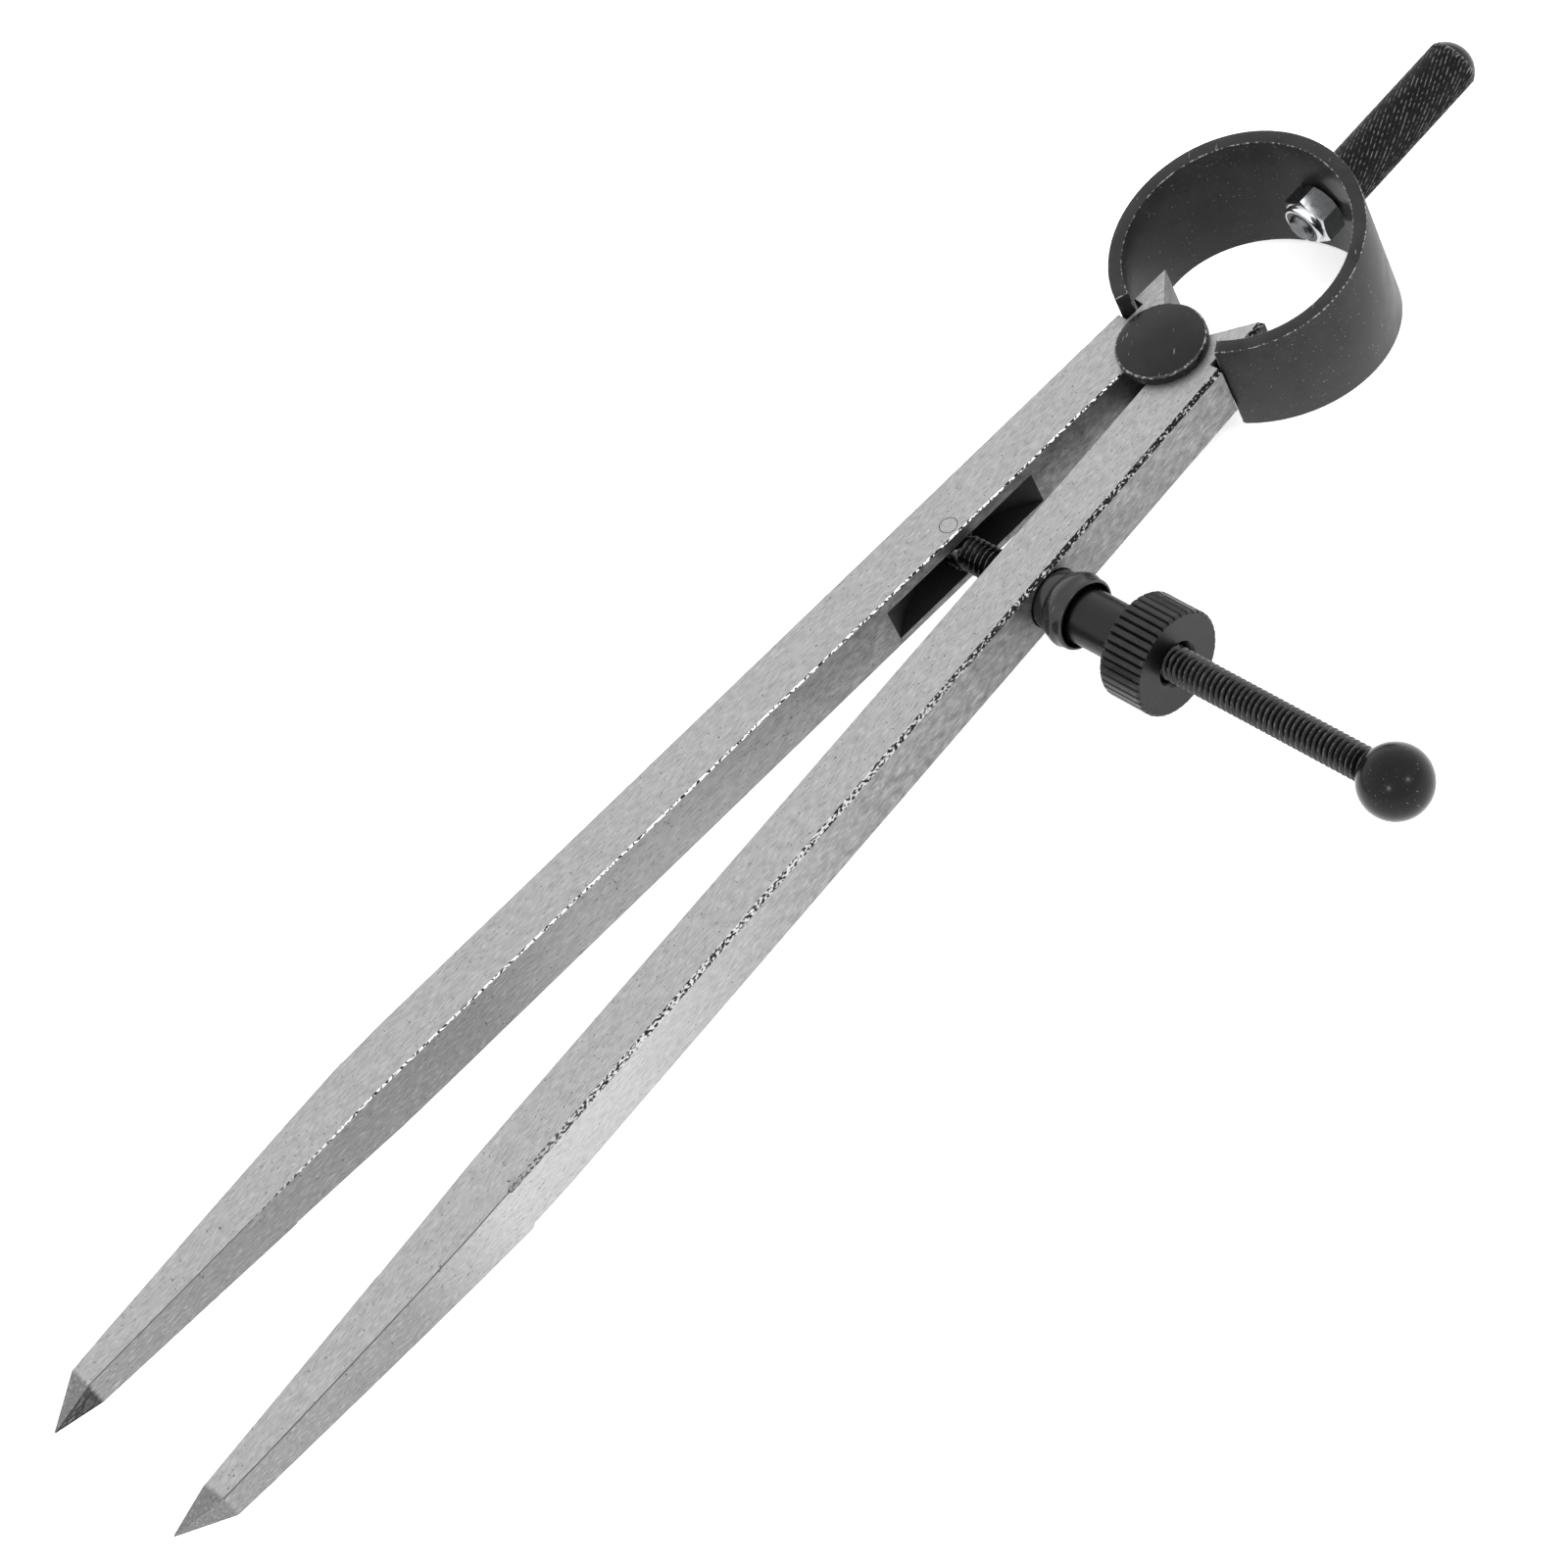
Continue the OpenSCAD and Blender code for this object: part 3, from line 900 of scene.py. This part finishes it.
@dataclass
class Fulcrum:
    """Hub in one piece with the domed disc in front, and the disc behind with its riveted tail."""

    hub: float = 3.6
    disc: float = 6.3
    reach: float = 4.5
    rim: float = 1.35
    dome: float = 0.8
    tail: float = 2.5
    sides: int = 96

    def dome_stations(self) -> list[Station]:
        """Gives the stations from the front disc's rim over its dome to the axis."""
        top = self.reach + self.rim
        radius = (self.disc ** 2 + self.dome ** 2) / (2 * self.dome)
        reach = [self.disc - 0.25, 5.2, 4.2, 3.2, 2.2, 1.2, 0.5, 0.0]
        return [(top + self.dome - radius + math.sqrt(radius ** 2 - r ** 2) - 0.02, r) for r in reach]

    def mark_rim(self, piece: Piece) -> None:
        """Gives the edge of the front disc, with its worn and painted glint dashes, its own material slot."""
        edge = self.reach + self.rim - 0.12
        for face in piece.data.polygons:
            place = (face.center - FULCRUM) / MM
            if place.z > edge and place.xy.length > self.disc - 0.22:
                face.material_index = 1

    def build(self) -> list[Piece]:
        """Makes the stud and the rear disc."""
        place = Matrix.Translation(FULCRUM)
        back = -self.reach - self.rim
        stud = turned("fulcrum_stud_turned", [
            (back - 0.6, 0), (back - 0.6, 2.1), (back - 0.4, 2.45), (back, self.tail),
            (-self.reach, self.tail), (-self.reach, self.hub), (self.reach, self.hub),
            (self.reach, self.disc - 0.12), (self.reach + 0.12, self.disc),
            (self.reach + self.rim - 0.2, self.disc),
            (self.reach + self.rim - 0.03, self.disc - 0.08), *self.dome_stations()], self.sides)
        rear = turned("fulcrum_rear_disc_turned", [
            (back, self.tail + 0.04), (back, self.disc - 0.3), (back + 0.3, self.disc),
            (-self.reach - 0.14, self.disc), (-self.reach - 0.03, self.disc - 0.12),
            (-self.reach - 0.03, self.tail + 0.04), (back, self.tail + 0.04)], self.sides)
        for piece, node in ((stud, "fulcrum_stud"), (rear, "fulcrum_rear_disc")):
            seat(piece, place, 30)
            self.mark_rim(piece)
            dress(piece, BlackOxide(f"black_oxide_{node}", place, "#070707", "#161616",
                                    scratches=0.6, roughness=0.3, gloss=0.2),
                  EdgeWearAndGlint(f"rubbed_edge_{node}", place, "#2A2A2A"))
            hand_over(piece, "bow", node)
        return [stud, rear]


@dataclass
class Handle:
    """Diamond-knurled handle with a smooth domed end, its zinc stud and the lock nut."""

    radius: float = 3.73
    start: float = 33.7
    shoulder: float = 58.7
    top: float = 61.1
    sides: int = 72
    rows: int = 34
    knurl: float = 0.22
    stud: float = 1.98
    nut_face: float = 26.85
    nut_seat: float = 31.15
    flats: float = 7.0
    collar: float = 3.15

    def __post_init__(self) -> None:
        """Works out the frame along the handle."""
        self.place = frame_along(FULCRUM, HANDLE_AXIS)

    def grip(self) -> Piece:
        """Turns the handle and presses its knurl."""
        rise = self.top - self.shoulder
        ball = (self.radius ** 2 + rise ** 2) / (2 * rise)
        half = math.degrees(math.asin(min(1.0, self.radius / ball)))
        crown = [(self.top - ball + ball * math.cos(math.radians(half * (1 - step / 8))),
                  ball * math.sin(math.radians(half * (1 - step / 8)))) for step in range(1, 9)]
        first = self.start + 0.5
        pitch = (self.shoulder - first) / self.rows
        knurled = [(first + pitch * row, self.radius) for row in range(self.rows + 1)]
        grip = turned("handle_grip_knurled", [
            (self.start, 0), (self.start, self.radius - 0.4), *knurled, *crown], self.sides)
        step = 2 * math.pi / self.sides
        edit(grip)

        def groove(place: Vector) -> bool:
            """Says whether a vertex lies in a groove: every second one of a chequer."""
            row = round((place.z / MM - first) / pitch)
            column = round(math.atan2(place.y, place.x) / step)
            outside = place.xy.length > 0.9 * self.radius * MM
            return 0 < row < self.rows and (row + column) % 2 == 1 and outside

        choose(grip, groove)
        ratio = 1 - self.knurl / self.radius
        bpy.ops.transform.resize(value=(ratio, ratio, 1), center_override=(0, 0, 0))
        close_edit()
        return grip

    def lock_nut(self) -> Piece:
        """Makes the hexagon with chamfered corners and the rolled collar."""
        hexagon_start = self.nut_face + 1.05
        corner = self.flats / 2 / math.cos(math.radians(30))
        bore = 2.06
        nut = turned("lock_nut_hexagon", [
            (hexagon_start - 0.2, bore), (hexagon_start - 0.2, corner - 0.75),
            (hexagon_start + 0.15, corner + 0.05), (self.nut_seat - 0.3, corner + 0.05),
            (self.nut_seat, corner - 0.45), (self.nut_seat, bore), (hexagon_start - 0.2, bore)], 72)
        hexagon = rod("hexagon", corner, 20, Vector((0, 0, self.nut_seat)), 6)
        keep_common(nut, hexagon)
        collar = turned("lock_nut_collar", [
            (hexagon_start, 2.78), (self.nut_face + 0.5, 2.78), (self.nut_face + 0.2, 2.55),
            (self.nut_face, 2.62), *arc((self.nut_face + 0.42, self.collar - 0.42), 0.42, -90, 0, 5),
            (hexagon_start, self.collar), (hexagon_start, 2.78)], 72)
        return join([nut, collar])

    def build(self) -> list[Piece]:
        """Makes the grip, the stud and the lock nut."""
        grip = seat(self.grip(), self.place, 12)
        thread = [(self.nut_face + 0.1 + 0.35 * turn, self.stud - (0.18 if turn % 2 else 0.0))
                  for turn in range(12)]
        stud = turned("handle_stud_threaded", [
            (26.12, 0), (26.12, 1.5), (26.45, 1.85), *thread, (45.9, self.stud), (45.9, 0)], 48)
        seat(stud, self.place, 30)
        nut = seat(self.lock_nut(), self.place, 30)
        dress(grip, BlackOxide("black_oxide_handle", self.place, "#050505", "#0A0A0A",
                               scratches=0.0, roughness=0.3, gloss=0.1, groove=3.5, crest=3.7,
                               crest_wear_and_glint="#5E5E5E", mark=0.32, marks=(1, 1, 3)))
        dress(stud, ZincPlate("zinc_plate_stud", self.place, "#6A6B6D", "#262626", roughness=0.34))
        dress(nut, ZincPlate("zinc_plate_lock_nut", self.place))
        dress(frame["nodes"]["lock_nut_insert"], Nylon("nylon_in_painted_shade", self.place))
        hand_over(grip, "bow", "handle_grip")
        hand_over(stud, "bow", "handle_stud")
        hand_over(nut, "bow", "lock_nut_body")
        return [grip, stud, nut]


# ---------------------------------------------------------------- adjusting screw


@dataclass
class AdjustingScrew:
    """Threaded rod with a flat eye on the leg's pin, and the ball on its free end."""

    radius: float = 2.42
    pitch: float = 0.9
    depth: float = 0.5
    first: float = 1.4
    reach: float = 75.0
    ball: float = 5.0
    eye: float = 2.3
    eye_bore: float = 1.25
    eye_thickness: float = 4.4

    def __post_init__(self) -> None:
        """Works out the frame along the screw from its pin."""
        self.place = frame_along(PIN, SCREW_AXIS)

    def thread(self) -> Piece:
        """Winds the outline of one tooth along the rod and closes the two ends."""
        turns = int((self.reach - 4.2 - self.first) / self.pitch)
        outline = [(self.radius - self.depth, 0.0), (self.radius, 0.42), (self.radius, 0.54),
                   (self.radius - self.depth, 0.96), (self.radius - self.depth, 1.0)]
        deselect()
        bpy.ops.mesh.primitive_plane_add(size=self.depth * MM)
        thread = bpy.context.object
        thread.name = "adjusting_screw_thread"
        edit(thread)
        bpy.ops.mesh.merge(type="CENTER")
        bpy.ops.transform.translate(value=(outline[0][0] * MM, 0, self.first * MM))
        for (inner, low), (outer, high) in zip(outline, outline[1:]):
            way = ((outer - inner) * MM, 0, (high - low) * self.pitch * MM)
            bpy.ops.mesh.extrude_region_move(TRANSFORM_OT_translate={"value": way})
        close_edit()
        screw = thread.modifiers.new("wind", "SCREW")
        screw.screw_offset = self.pitch * MM
        screw.iterations = turns
        screw.steps = 24
        screw.render_steps = 24
        screw.axis = "Z"
        screw.use_merge_vertices = False
        apply_modifier(thread, screw)
        clean(thread, 0.002)
        edit(thread)
        bpy.ops.mesh.select_mode(type="EDGE")
        bpy.ops.mesh.select_all(action="DESELECT")
        bpy.ops.mesh.select_non_manifold(extend=False)
        bpy.ops.mesh.fill_holes(sides=0)
        bpy.ops.mesh.select_all(action="SELECT")
        bpy.ops.mesh.normals_make_consistent(inside=False)
        close_edit()
        return thread

    def build(self) -> list[Piece]:
        """Makes the screw and its ball."""
        core = self.radius - self.depth - 0.02
        half = self.eye_thickness / 2
        shank = turned("adjusting_screw_rod", [
            (self.first - 0.1, 0), (self.first - 0.1, core), (self.reach - 3, core),
            (self.reach - 0.2, 1.9), (self.reach - 0.2, 0)], 48)
        eye = turned("adjusting_screw_eye", [
            (-half, self.eye_bore), (-half, self.eye - 0.2), (0.2 - half, self.eye),
            (half - 0.2, self.eye), (half, self.eye - 0.2), (half, self.eye_bore),
            (-half, self.eye_bore)], 64)
        eye.matrix_world = Matrix.Rotation(math.radians(90), 4, "X")
        focus(eye)
        bpy.ops.object.transform_apply(rotation=True)
        screw = seat(join([shank, self.thread(), eye]), self.place, 28)
        ball = self.ball_piece()
        seat(ball, self.place, 30)
        dress(screw, BlackOxide("black_oxide_screw", self.place, "#060606", "#0C0C0C",
                                scratches=0.0, roughness=0.24, gloss=0.3, groove=2.1, crest=2.4,
                                crest_wear_and_glint="#404040", mark=0.5))
        dress(ball, BlackOxide("black_oxide_ball", self.place, "#020202", "#060606",
                               scratches=0.4, roughness=0.24, gloss=0.17))
        hand_over(screw, "screw", "adjusting_screw")
        hand_over(ball, "screw", "ball_end")
        dress(frame["nodes"]["screw_pivot_pin"],
              GroundSteel("ground_pin_end", self.place, sides="#505050"))
        return [screw, ball]

    def ball_piece(self) -> Piece:
        """Turns the ball with its small flat and bore for the screw."""
        mouth = math.degrees(math.asin(2.5 / self.ball))
        turns = [math.radians(mouth + (180 - mouth) * step / 40) for step in range(41)]
        outline = [(self.reach - self.ball * math.cos(turn), self.ball * math.sin(turn))
                   for turn in turns]
        neck = outline[0][0]
        outline[-1] = (outline[-1][0], 0.0)
        return turned("ball_end_turned", [
            (self.reach - 0.1, 0), (self.reach - 0.1, 2.02), (neck + 0.35, 2.02), (neck, 2.3),
            *outline], 72)


@dataclass
class CupWasher:
    """Washer with a ball nose in the leg's seat and a rounded cup for the nut."""

    nose: float = 4.2
    bore: float = 2.75
    recess: float = 4.4

    def build(self) -> Piece:
        """Makes the washer."""
        place = frame_along(SEAT, SCREW_AXIS)
        start = -math.degrees(math.asin(2.4 / self.nose))
        nose = arc((0, 0), self.nose, start, math.degrees(math.asin(0.6 / self.nose)), 14)
        washer = turned("cup_washer_turned", [
            (nose[0][0], self.bore), *nose, (0.85, 4.42), (1.2, 4.64), (1.6, 4.85), (2.1, 5.05),
            (2.5, 5.15), (2.85, 5.2), (3.0, 5.14), (3.15, 5.03), (3.9, 4.98),
            *arc((4.25, 4.64), 0.34, 0, 100, 6), (4.3, self.recess), (1.6, self.recess),
            (1.6, self.bore), (nose[0][0], self.bore)], 96)
        seat(washer, place, 40)
        dress(washer, BlackOxide("black_oxide_cup", place, "#0A0A0A", "#121212",
                                 scratches=0.4, roughness=0.24, gloss=0.4))
        hand_over(washer, "washer", "cup_washer")
        return washer


@dataclass
class AdjustingNut:
    """One turned nut: a smooth barrel into the cup and a straight-knurled head."""

    barrel: float = 3.85
    head: float = 7.38
    start: float = 1.75
    barrel_end: float = 13.7
    head_end: float = 20.5
    bore: float = 2.74
    entry: float = 3.3
    ridges: int = 40
    depth: float = 0.36

    def build(self) -> Piece:
        """Makes the nut."""
        place = frame_along(SEAT, SCREW_AXIS)
        nut = turned("adjusting_nut_turned", [
            (self.start, self.bore), (self.start, self.barrel - 0.25), (self.start + 0.25, self.barrel),
            (self.barrel_end - 0.1, self.barrel), (self.barrel_end, self.barrel + 0.1),
            (self.barrel_end, self.head - 0.4), (self.barrel_end + 0.12, self.head - 0.14),
            (self.barrel_end + 0.32, self.head), (self.head_end - 0.35, self.head),
            (self.head_end - 0.14, self.head - 0.1), (self.head_end, self.head - 0.36),
            (self.head_end, self.entry), (self.head_end - 0.1, self.entry - 0.12),
            (self.head_end - 0.7, self.bore), (self.start, self.bore)], 5 * self.ridges)
        step = 2 * math.pi / (5 * self.ridges)
        edit(nut)

        def root(place: Vector) -> bool:
            """Says whether a vertex lies at the root between two ridges."""
            column = round(math.atan2(place.y, place.x) / step) % 5
            return place.xy.length > (self.head - 0.3) * MM and column == 4

        choose(nut, root)
        ratio = 1 - self.depth / self.head
        bpy.ops.transform.resize(value=(ratio, ratio, 1), center_override=(0, 0, 0))
        close_edit()
        seat(nut, place, 25)
        dress(nut, BlackOxide("black_oxide_nut", place, "#0A0A0A", "#121212",
                              scratches=0.4, roughness=0.3, gloss=0.24, groove=7.0, crest=7.22,
                              crest_wear_and_glint="#161616", mark=2.0))
        hand_over(nut, "nut", "adjusting_nut")
        return nut


# ---------------------------------------------------------------- studio


@dataclass
class Studio:
    """Pale table, soft light from above and the camera that looks down along the legs."""

    azimuth: float = 69.22
    elevation: float = 49.78
    roll: float = 30.36
    lens: float = 124.45
    camera_offset: tuple[float, float, float] = (420.48, -236.38, 530.92)
    softboxes: tuple[tuple[str, float, float, float], ...] = (
        ("left_softbox", -0.46, -0.42, 1.03), ("right_softbox", 0.58, 0.07, 1.05))
    softbox: float = 0.1
    power: float = 1.6
    sky: float = 1.8
    table_size: float = 6.0
    table_gap: float = 0.3

    def axes(self) -> tuple[Vector, Vector, Vector]:
        """Gives the camera's right, up and back directions from its angles."""
        angles = (self.azimuth, self.elevation, self.roll)
        turn, rise, lean = (math.radians(angle) for angle in angles)
        flat = math.cos(rise)
        back = Vector((math.sin(turn) * flat, -math.cos(turn) * flat, math.sin(rise)))
        level = Vector((0, 0, 1)).cross(back).normalized()
        up = (math.cos(lean) * back.cross(level) + math.sin(lean) * level).normalized()
        return up.cross(back), up, back

    def camera(self) -> None:
        """Places the camera by its offset from the fulcrum, its direction and its roll."""
        data = bpy.data.cameras.new("camera")
        data.lens = self.lens
        data.sensor_width = 36
        data.clip_start = 0.01
        camera = bpy.data.objects.new("camera", data)
        bpy.context.scene.collection.objects.link(camera)
        place = Matrix.Translation(FULCRUM + Vector(self.camera_offset) * MM)
        camera.matrix_world = place @ Matrix(self.axes()).transposed().to_4x4()
        bpy.context.scene.camera = camera

    def table(self) -> None:
        """Lays the pale table top."""
        deselect()
        bpy.ops.mesh.primitive_plane_add(size=self.table_size, location=(0, 0, -self.table_gap * MM))
        table = bpy.context.object
        table.name = "table"
        dress(table, PaleTable("matt_white_table", Matrix()))

    def light(self, name: str, place: Vector) -> None:
        """Adds one soft square light that looks at the divider.

        Args:
            name: The light's name.
            place: Where it stands, in metres.
        """
        data = bpy.data.lights.new(name, "AREA")
        data.shape = "SQUARE"
        data.size = self.softbox
        data.energy = self.power
        lamp = bpy.data.objects.new(name, data)
        bpy.context.scene.collection.objects.link(lamp)
        lamp.location = place
        lamp.rotation_euler = (FULCRUM - place).to_track_quat("-Z", "Y").to_euler()

    def build(self) -> None:
        """Sets up the table, the lights, the sky and the camera."""
        scene = bpy.context.scene
        scene.view_settings.view_transform = "Standard"
        world = bpy.data.worlds.new("studio")
        world.use_nodes = True
        background = world.node_tree.nodes["Background"]
        background.inputs[0].default_value = (1, 1, 1, 1)
        background.inputs[1].default_value = self.sky
        scene.world = world
        self.table()
        right, up, back = self.axes()
        for name, across, high, off in self.softboxes:
            self.light(name, FULCRUM + across * right + high * up + off * back)
        self.camera()


def main() -> None:
    """Builds every sub-assembly in order and reports its pieces."""
    Studio().build()
    for side in Side:
        Leg(side).build()
    BowSpring().build()
    Fulcrum().build()
    Handle().build()
    AdjustingScrew().build()
    CupWasher().build()
    AdjustingNut().build()


if __name__ == "__main__":
    main()
